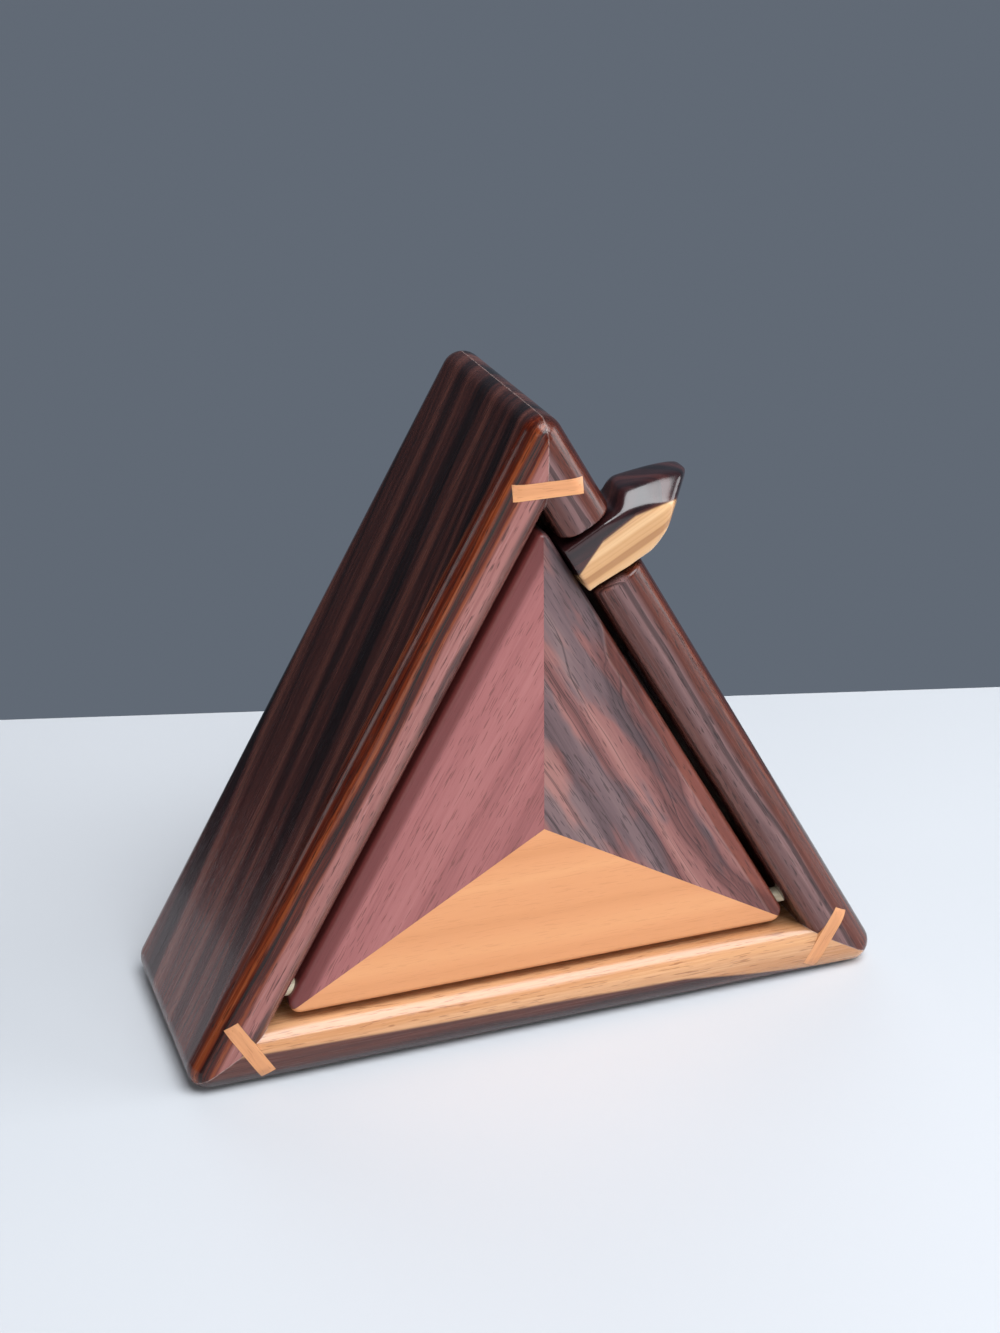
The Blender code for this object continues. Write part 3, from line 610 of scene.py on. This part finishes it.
class Tree:
    """A material's nodes, with short names for the steps that the woods need."""

    def __init__(self, name):
        self.material = bpy.data.materials.new(name)
        self.material.use_nodes = True
        self.nodes = self.material.node_tree.nodes
        self.links = self.material.node_tree.links
        self.shader = self.nodes["Principled BSDF"]
        self.place = self.nodes.new("ShaderNodeTexCoord").outputs["Object"]

    def feed(self, socket, value):
        if isinstance(value, bpy.types.NodeSocket):
            self.links.new(value, socket)
        else:
            socket.default_value = value

    def node(self, kind, sockets, **settings):
        node = self.nodes.new(kind)
        for key, value in settings.items():
            setattr(node, key, value)
        for key, value in sockets.items():
            self.feed(node.inputs[key], value)
        return node

    def math(self, operation, *values):
        node = self.nodes.new("ShaderNodeMath")
        node.operation = operation
        for socket, value in zip(node.inputs, values):
            self.feed(socket, value)
        return node.outputs[0]

    def mapped(self, vector, location=(0, 0, 0), rotation=(0, 0, 0), scale=(1, 1, 1)):
        return self.node("ShaderNodeMapping", {
            "Vector": vector, "Location": location, "Rotation": rotation, "Scale": scale,
        }).outputs[0]

    def parts(self, vector):
        return self.node("ShaderNodeSeparateXYZ", {"Vector": vector}).outputs

    def noise(self, vector, detail, rough=0.5):
        return self.node("ShaderNodeTexNoise", {
            "Vector": vector, "Scale": 1.0, "Detail": detail, "Roughness": rough,
        }).outputs[0]

    def line_noise(self, w, scale, detail, rough):
        return self.node("ShaderNodeTexNoise", {
            "W": w, "Scale": scale, "Detail": detail, "Roughness": rough,
        }, noise_dimensions="1D").outputs[0]

    def spread(self, noise, width):
        """A noise brought round zero, over a given width."""
        return self.math("MULTIPLY", self.math("SUBTRACT", noise, 0.5), width)

    def step(self, value, low, high, out_low=0.0, out_high=1.0):
        return self.node("ShaderNodeMapRange", {
            "Value": value, "From Min": low, "From Max": high, "To Min": out_low, "To Max": out_high,
        }, interpolation_type="SMOOTHSTEP").outputs[0]

    def ramp(self, factor, stops):
        node = self.node("ShaderNodeValToRGB", {"Fac": factor})
        elements = node.color_ramp.elements
        while len(elements) < len(stops):
            elements.new(1.0)
        for element, (position, colour) in zip(elements, stops):
            element.position = position
            element.color = (*colour, 1.0)
        return node.outputs[0]

    def mix(self, factor, a, b):
        node = self.node("ShaderNodeMix", {"Factor": factor}, data_type="RGBA")
        colours = [socket for socket in node.inputs if socket.type == "RGBA"]
        for socket, value in zip(colours, (a, b)):
            self.feed(socket, (*value, 1.0) if isinstance(value, tuple) else value)
        return next(socket for socket in node.outputs if socket.type == "RGBA")

    def tint(self, colour, mask, amount, other):
        """Lays an amount of another colour over a colour, where the mask is set."""
        return self.mix(self.math("MULTIPLY", mask, amount), colour, other)

    def finish(self, colour, roughness, height, bump=0.25, coat=0.0, coat_rough=0.2, shine=0.5):
        self.feed(self.shader.inputs["Base Color"], colour)
        self.feed(self.shader.inputs["Roughness"], roughness)
        self.shader.inputs["Specular IOR Level"].default_value = shine
        self.shader.inputs["Coat Weight"].default_value = coat
        self.shader.inputs["Coat Roughness"].default_value = coat_rough
        node = self.node("ShaderNodeBump", {"Strength": bump, "Distance": BUMP_HEIGHT, "Height": height})
        self.links.new(node.outputs[0], self.shader.inputs["Normal"])
        return self.material


class Grain:
    """Grain in a board's own frame: X runs along it, Y back, and Z in from its outer face.

    Growth rings lie round a pith, given in mm across the grain. They wander, and a lean in degrees
    turns them within the board's face. The grain runs along X, or along Z in the lever.
    """

    def __init__(self, tree, degrees, seed, pith, wander, along="X", lean=0.0):
        turn = Matrix.Rotation(math.radians(degrees), 3, "Y")
        shift = CENTRE - turn @ CENTRE
        self.tree = tree
        self.local = tree.mapped(tree.place, tuple(shift), (0, math.radians(degrees), 0))
        self.x, self.y, self.z = tree.parts(self.local)
        run = tree.mapped(self.local, rotation=(0, 0, math.radians(lean))) if lean else self.local

        def drawn_out(offset, scales):
            long, wide = scales
            scale = (long, wide, wide) if along == "X" else (wide, wide, long)
            return tree.mapped(run, offset, scale=scale)

        self.warp = tree.noise(drawn_out((seed, seed * 2, 0), WARP_SCALE), 3)
        away_y = tree.math("SUBTRACT", tree.parts(run)[1], pith[0] * MM)
        away = tree.math("SUBTRACT", self.z if along == "X" else self.x, pith[1] * MM)
        squares = tree.math("ADD", tree.math("MULTIPLY", away_y, away_y), tree.math("MULTIPLY", away, away))
        wobble = tree.spread(self.warp, RING_WANDER * wander)
        self.ring = tree.math("ADD", tree.math("ADD", tree.math("SQRT", squares), wobble), seed)
        self.fibre = tree.noise(drawn_out((0, seed, seed), FIBRE_SCALE), 4, 0.6)
        self.pore = tree.step(tree.noise(drawn_out((seed, 0, 1), PORE_SCALE), 1), 0.60, 0.68)

    def tone(self, scale, detail, rough, fibre):
        """Growth bands, with some of the fibre over them."""
        bands = self.tree.line_noise(self.ring, scale, detail, rough)
        return self.tree.math("ADD", bands, self.tree.spread(self.fibre, fibre))

    def lines(self, shift, scale, low, high, detail=3, rough=0.6):
        """Thin lines along the rings."""
        ring = self.tree.math("ADD", self.ring, shift)
        return self.tree.step(self.tree.line_noise(ring, scale, detail, rough), low, high)

    def roughness(self, low, high):
        return self.tree.step(self.fibre, 0.25, 0.75, low, high)

    def height(self, pores=0.8):
        return self.tree.math("SUBTRACT", self.fibre, self.tree.math("MULTIPLY", self.pore, pores))


def mitre_hair_line(tree, grain, colour):
    """A hair of pale colour along the mitres, in patches."""
    run = tree.math("MULTIPLY", tree.math("SUBTRACT", SIDE / 2, tree.math("ABSOLUTE", grain.x)), 0.5)
    rise = tree.math("MULTIPLY", grain.z, math.sqrt(3) / 2)
    off = tree.math("ABSOLUTE", tree.math("SUBTRACT", run, rise))
    patchy = tree.math("MULTIPLY", tree.step(grain.fibre, 0.35, 0.6), 0.55)
    hair = tree.math("MULTIPLY", tree.step(off, MITRE_HAIR_RIM, MITRE_HAIR_CORE), patchy)
    return tree.mix(hair, colour, MITRE_HAIR)


def dark_board(name, degrees, seed, pith, wander, face, edge, edge_depth, face_foot=None, lean=0.0):
    """Rosewood with black lines; its front edge has an outer band of colour, a middle band that is a painted
    highlight, and an inner band of colour.

    The outer face may lean its grain and change colour towards the board's foot.
    """
    tree = Tree(name)
    grain = Grain(tree, degrees, seed, pith, wander)
    flat = Grain(tree, degrees, seed, pith, wander, lean=lean) if lean else grain
    flat_tone = flat.tone(scale=135, detail=3, rough=0.6, fibre=0.22)
    colour = tree.ramp(flat_tone, face)
    if face_foot:
        colour = tree.mix(tree.step(grain.x, 0, FACE_FADE), colour, tree.ramp(flat_tone, face_foot))
    tone = grain.tone(scale=216, detail=5, rough=0.75, fibre=0.28)
    outer, middle, inner = (tree.ramp(tone, stops) for stops in edge)
    drift = tree.spread(grain.warp, EDGE_DRIFT)
    inward = tree.math("ADD", grain.z, drift)
    # Painted highlight: the middle band stands in for the sheen on the rounded front edge
    bands = tree.mix(tree.step(inward, *EDGE_HIGHLIGHT), outer, middle)
    bands = tree.mix(tree.step(inward, *EDGE_INNER), bands, inner)
    near = tree.step(tree.math("ADD", grain.y, tree.math("MULTIPLY", drift, 0.5)),
                     FRONT + edge_depth + EDGE_FADE, FRONT + edge_depth)
    colour = tree.mix(near, colour, bands)
    colour = tree.tint(colour, grain.lines(shift=3.1, scale=750, low=0.57, high=0.68), 0.6, INK)
    colour = tree.tint(colour, grain.pore, 0.6, INK_PORE)
    colour = mitre_hair_line(tree, grain, colour)
    return tree.finish(colour, grain.roughness(0.17, 0.30), grain.height(),
                       coat=0.15, coat_rough=0.08, shine=0.32)


def bottom_wood(name):
    """A rosewood board whose inner half is pale sapwood, with a slanting natural boundary."""
    tree = Tree(name)
    grain = Grain(tree, BOTTOM, 5.3, (60, 70), 0.7)
    tone = grain.tone(scale=210, detail=4, rough=0.6, fibre=0.2)
    pale = tree.tint(tree.ramp(tone, SAPWOOD), grain.pore, 0.55, SAP_PORE)
    boundary = tree.math("MINIMUM", *(
        tree.math("SUBTRACT", height, tree.math("MULTIPLY", grain.x, fall)) for height, fall in SAP_EDGES
    ))
    uneven = tree.math("ADD", grain.z, tree.spread(grain.warp, SAP_DRIFT))
    sap = tree.step(tree.math("SUBTRACT", uneven, boundary), -SAP_FADE, SAP_FADE)
    colour = mitre_hair_line(tree, grain, tree.mix(sap, tree.ramp(tone, HEARTWOOD), pale))
    return tree.finish(colour, grain.roughness(0.20, 0.32), grain.height(),
                       coat=0.4, coat_rough=0.08, shine=0.40)


def plain_wood(name, degrees, seed, pith, stops, scale, pores, pore_colour, wander=0.6, fibre=0.16,
               rough=(0.30, 0.42), coat=0.3, door_shadow=None):
    """An even wood: soft bands, fine fibre and a few pores; a colour given for the door's edge paints a
    shadow of the case along its outer edge.
    """
    tree = Tree(name)
    grain = Grain(tree, degrees, seed, pith, wander)
    colour = tree.ramp(grain.tone(scale, detail=3, rough=0.5, fibre=fibre), stops)
    colour = tree.tint(colour, grain.pore, pores, pore_colour)
    if door_shadow:
        # Painted shadow: the case's left board darkens the door's outer edge
        near = tree.step(grain.z, DOOR_MARGIN + SHADOW_EDGE_END, DOOR_MARGIN + SHADOW_EDGE_FULL)
        colour = tree.tint(colour, near, 0.85, door_shadow)
    return tree.finish(colour, grain.roughness(*rough), grain.height(0.6),
                       bump=0.2, coat=coat, coat_rough=0.18, shine=0.35)


def figured_wood(name):
    """Grey-brown rosewood with black strokes and fiery streaks, and a red band at its outer edge, darkened
    by painted shade of the rounding and lined with a painted highlight.
    """
    tree = Tree(name)
    grain = Grain(tree, RIGHT, 9.7, (-60, 150), 2.2)
    tone = grain.tone(scale=110, detail=4, rough=0.6, fibre=0.25)
    drift = tree.noise(tree.mapped(grain.local, (4, 1, 2), scale=(38, 200, 200)), 3)
    outer = tree.step(grain.z, 34 * MM, 14 * MM)
    low = tree.step(grain.x, -40 * MM, 30 * MM, 1.0, 0.0)
    more = tree.math("MULTIPLY", tree.math("MULTIPLY", outer, low), 0.26)
    fire = tree.step(tree.math("ADD", drift, more), 0.46, 0.60)
    colour = tree.tint(tree.ramp(tone, GREY_BROWN), fire, 0.85, tree.ramp(tone, EMBER))
    colour = tree.tint(colour, grain.lines(shift=1.7, scale=900, low=0.56, high=0.68), 0.6, GREY_INK)
    width = tree.step(grain.x, BAND_TOP, BAND_TOP - BAND_FADE,
                      DOOR_MARGIN - 0.4 * MM, DOOR_MARGIN + BAND_WIDTH)
    width = tree.math("ADD", width, tree.spread(drift, 1.5 * MM))
    off = tree.math("SUBTRACT", grain.z, width)
    # Red wood with painted shade where the edge rounds away from the light
    band = tree.step(off, 0.15 * MM, -0.25 * MM)
    colour = tree.tint(colour, band, 0.85, tree.ramp(tone, EDGE_RED_SHADE))
    # Painted highlight: a pale line where the rounding meets the flat face
    highlight_line = tree.step(tree.math("ABSOLUTE", off), 0.40 * MM, 0.10 * MM)
    colour = tree.tint(colour, highlight_line, 0.12, DOOR_EDGE_HIGHLIGHT)
    colour = tree.tint(colour, grain.pore, 0.5, GREY_PORE)
    return tree.finish(colour, grain.roughness(0.30, 0.44), grain.height(),
                       coat=0.15, coat_rough=0.2, shine=0.35)


def lever_wood(name):
    """Nearly black heartwood, with pale sapwood on the lower part of the front."""
    tree = Tree(name)
    grain = Grain(tree, RIGHT, 2.9, (30, -20), 0.5, along="Z")
    tone = grain.tone(scale=420, detail=3, rough=0.6, fibre=0.2)
    streaks = grain.lines(shift=0.7, scale=1300, low=0.58, high=0.70, detail=2, rough=0.5)
    pale = tree.tint(tree.ramp(tone, LEVER_PALE), streaks, 0.6, LEVER_STREAK)
    x, y, z = tree.parts(tree.place)
    lower = None
    for (x1, z1), (x2, z2) in LEVER_SAP:
        slope = (z2 - z1) / (x2 - x1)
        line = tree.math("ADD", tree.math("MULTIPLY", tree.math("SUBTRACT", x, x1 * MM), slope), z1 * MM)
        below = tree.math("SUBTRACT", line, z)
        lower = below if lower is None else tree.math("MINIMUM", lower, below)
    deep = tree.math("MULTIPLY", tree.math("SUBTRACT", y, FRONT + LEVER_FRONT), 0.6)
    lower = tree.math("SUBTRACT", tree.math("ADD", lower, tree.spread(grain.warp, 1.2 * MM)), deep)
    dark = tree.ramp(tone, LEVER_DARK)
    brown = tree.mix(tree.step(lower, -0.7 * MM, 0.1 * MM), dark, LEVER_BROWN)
    colour = tree.mix(tree.step(lower, -0.1 * MM, 0.5 * MM), brown, pale)
    roughness = tree.step(grain.warp, 0.3, 0.7, 0.20, 0.30)
    return tree.finish(colour, roughness, grain.warp, bump=0.05, coat=0.3, coat_rough=0.18)


def turned_brass(name):
    tree = Tree(name)
    spun = tree.noise(tree.mapped(tree.place, scale=(2600, 300, 2600)), 3)
    tree.shader.inputs["Metallic"].default_value = 1.0
    return tree.finish(tree.ramp(spun, BRASS), tree.step(spun, 0.3, 0.7, 0.22, 0.36), spun, bump=0.1)


def build_materials():
    made = {
        "left_board": dark_board(
            "left_board_grain", LEFT, 1.3, (110, -60), 0.6, FACE, (RED, ROSE_HIGHLIGHT, BROWN), 3.4 * MM,
            face_foot=FACE_FOOT, lean=9.0,
        ),
        "right_board": dark_board(
            "right_board_grain", RIGHT, 3.7, (120, -70), 0.35, FACE, (MAROON, MAUVE_HIGHLIGHT, BROWN), 1.2 * MM,
        ),
        "bottom_board": bottom_wood("bottom_board_grain"),
        "door_left": plain_wood(
            "bloodwood_grain", LEFT, 4.1, (-40, 120), BLOODWOOD, 80, 0.5, (0.10, 0.03, 0.02),
            wander=0.8, fibre=0.38, door_shadow=DOOR_EDGE_SHADOW,
        ),
        "door_right": figured_wood("figured_grain"),
        "door_bottom": plain_wood(
            "pear_grain", BOTTOM, 6.2, (-50, -90), PEAR, 90, 0.12, (0.38, 0.12, 0.04), fibre=0.10,
        ),
        "lever": lever_wood("lever_grain"),
        "brass": turned_brass("turned_brass"),
        "bare": plain_wood(
            "bare_maple_grain", LEFT, 2.2, (30, 60), BARE_MAPLE, 200, 0.2, (0.36, 0.24, 0.13),
            rough=(0.5, 0.65), coat=0.0,
        ),
        # Painted shade: near black maple for the door stop and the latch keeper in the dark gap
        "shade_dark": plain_wood(
            "shade_dark_maple_grain", LEFT, 2.2, (30, 60), SHADE_DARK_MAPLE, 200, 0.2, (0.01, 0.006, 0.005),
            rough=(0.55, 0.7), coat=0.0,
        ),
        "pin": plain_wood(
            "bare_birch_grain", BOTTOM, 8.8, (30, 60), BIRCH, 500, 0.2, (0.42, 0.30, 0.18),
            rough=(0.5, 0.65), coat=0.0,
        ),
    }
    for name, degrees in SPLINES.items():
        made[name] = plain_wood(
            f"{name}_grain", degrees, 7.7, (20, 60), OILED_MAPLE, 300, 0.35, (0.34, 0.11, 0.04), fibre=0.2,
        )
    return made


# ---------------------------------------------------------------- scene

# For each node that a finer piece stands for: its material, the record's slot and its body
LOOKS = {
    "left_board": ("left_board", "cocobolo", "case"),
    "right_board": ("right_board", "cocobolo", "case"),
    "bottom_board": ("bottom_board", "cocobolo", "case"),
    "top_spline": ("top_spline", "spline_maple", "case"),
    "left_spline": ("left_spline", "spline_maple", "case"),
    "right_spline": ("right_spline", "spline_maple", "case"),
    "back_panel_left": ("door_left", "bloodwood", "case"),
    "back_panel_right": ("door_right", "figured_cocobolo", "case"),
    "back_panel_bottom": ("door_bottom", "pearwood", "case"),
    "hinge_pin_left": ("pin", "birch", "case"),
    "hinge_pin_right": ("pin", "birch", "case"),
    "door_left": ("door_left", "bloodwood", "door"),
    "door_right": ("door_right", "figured_cocobolo", "door"),
    "door_bottom": ("door_bottom", "pearwood", "door"),
    "pivot_screw": ("brass", "brass", "door"),
    "pivot_washer": ("brass", "brass", "door"),
    "screw_washer": ("brass", "brass", "door"),
    "lever": ("lever", "blackwood", "lever"),
}
# The imported model's own pieces that stay, with their materials; the door stop and the latch keeper get
# near black maple as painted shade
KEPT = {
    "latch_bar": "bare", "latch_keeper": "shade_dark", "door_stop": "shade_dark", "back_ledge_left": "bare",
    "back_ledge_right": "bare", "back_ledge_bottom": "bare", "latch_dowel": "pin",
}
# Area lights: place and size in metres, energy in watts, and colour
LIGHTS = {
    "sky": ((0.18, -0.42, 1.00), 0.80, 16.0, (0.94, 0.97, 1.0)),
    "window": ((1.00, -0.45, 0.42), 0.80, 9.0, (0.96, 0.98, 1.0)),
    "fill": ((-0.55, -1.10, 0.45), 0.9, 3.5, (1.0, 0.97, 0.94)),
    "rim": ((-1.08, 0.35, 0.40), 0.36, 0.9, (0.96, 0.98, 1.0)),
    "back": ((0.15, 1.10, 0.80), 0.9, 4.0, (0.97, 0.98, 1.0)),
}


def dress(item, material, node, body):
    item.data.materials.clear()
    item.data.materials.append(material)
    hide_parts(node)
    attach(item, body)


def ease_kept(item):
    """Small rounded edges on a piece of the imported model."""
    weld = item.modifiers.new("weld", "WELD")
    weld.merge_threshold = TOLERANCE
    ease = item.modifiers.new("eased", "BEVEL")
    ease.width = KEPT_EASE
    ease.segments = 3
    ease.limit_method = "ANGLE"
    ease.angle_limit = KEPT_ANGLE


def build_object():
    made = build_materials()
    pieces = {**build_case(), **build_door(), **build_back(), **build_hardware()}
    for item in pieces.values():
        finish_shape(item)
    pieces["lever"] = build_lever()
    for node, item in pieces.items():
        material, slot, body = LOOKS[node]
        dress(item, made[material], node, body)
    for node, material in KEPT.items():
        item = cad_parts[node]
        item.data.materials.clear()
        item.data.materials.append(made[material])
        if node != "latch_dowel":
            ease_kept(item)


def build_table():
    """A pale table whose far edge lies where the photograph's does."""
    (x1, y1), (x2, y2) = TABLE_EDGE
    slope = (y2 - y1) / (x2 - x1)
    corners = [(-TABLE_REACH, -TABLE_REACH, 0), (TABLE_REACH, -TABLE_REACH, 0)]
    corners += [(x, y1 + (x - x1) * slope, 0) for x in (TABLE_REACH, -TABLE_REACH)]
    mesh = bpy.data.meshes.new("table")
    mesh.from_pydata(corners, [], [(0, 1, 2, 3)])
    table = add("table", mesh)
    tree = Tree("table_paint")
    tree.shader.inputs["Base Color"].default_value = (0.56, 0.575, 0.60, 1)
    tree.shader.inputs["Roughness"].default_value = 0.55
    mesh.materials.append(tree.material)


def build_room():
    """A blue-grey room that is darker towards -X, where the photograph's dark left side faces."""
    world = bpy.data.worlds.new("room")
    bpy.context.scene.world = world
    world.use_nodes = True
    nodes, links = world.node_tree.nodes, world.node_tree.links
    split = nodes.new("ShaderNodeSeparateXYZ")
    links.new(nodes.new("ShaderNodeTexCoord").outputs["Generated"], split.inputs[0])
    fade = nodes.new("ShaderNodeMapRange")
    fade.interpolation_type = "SMOOTHSTEP"
    for name, value in (("From Min", -0.55), ("From Max", 0.0), ("To Min", 0.25), ("To Max", 1.0)):
        fade.inputs[name].default_value = value
    links.new(split.outputs["X"], fade.inputs["Value"])
    links.new(fade.outputs[0], nodes["Background"].inputs["Strength"])
    nodes["Background"].inputs["Color"].default_value = (0.120, 0.143, 0.178, 1)


def build_lights():
    for name, (place, size, energy, colour) in LIGHTS.items():
        light = bpy.data.lights.new(name, "AREA")
        light.energy = energy
        light.size = size
        light.color = colour
        lamp = add(name, light)
        lamp.location = place
        lamp.rotation_euler = (LIGHT_AIM - Vector(place)).to_track_quat("-Z", "Y").to_euler()
        lamp.visible_glossy = name != "back"   # it brightens the back and leaves no reflection


def build_camera():
    """The photograph's camera, from a fit to the box's corners."""
    camera = bpy.data.cameras.new("camera")
    camera.lens = CAMERA_LENS
    camera.sensor_width = 36
    camera.clip_start = 0.01
    item = add("camera", camera)
    item.location = CAMERA_PLACE
    item.rotation_euler = [math.radians(angle) for angle in CAMERA_TURN]
    bpy.context.scene.camera = item


build_object()
build_table()
build_room()
build_lights()
build_camera()
bpy.context.scene.view_settings.view_transform = "Standard"
bpy.context.view_layer.update()
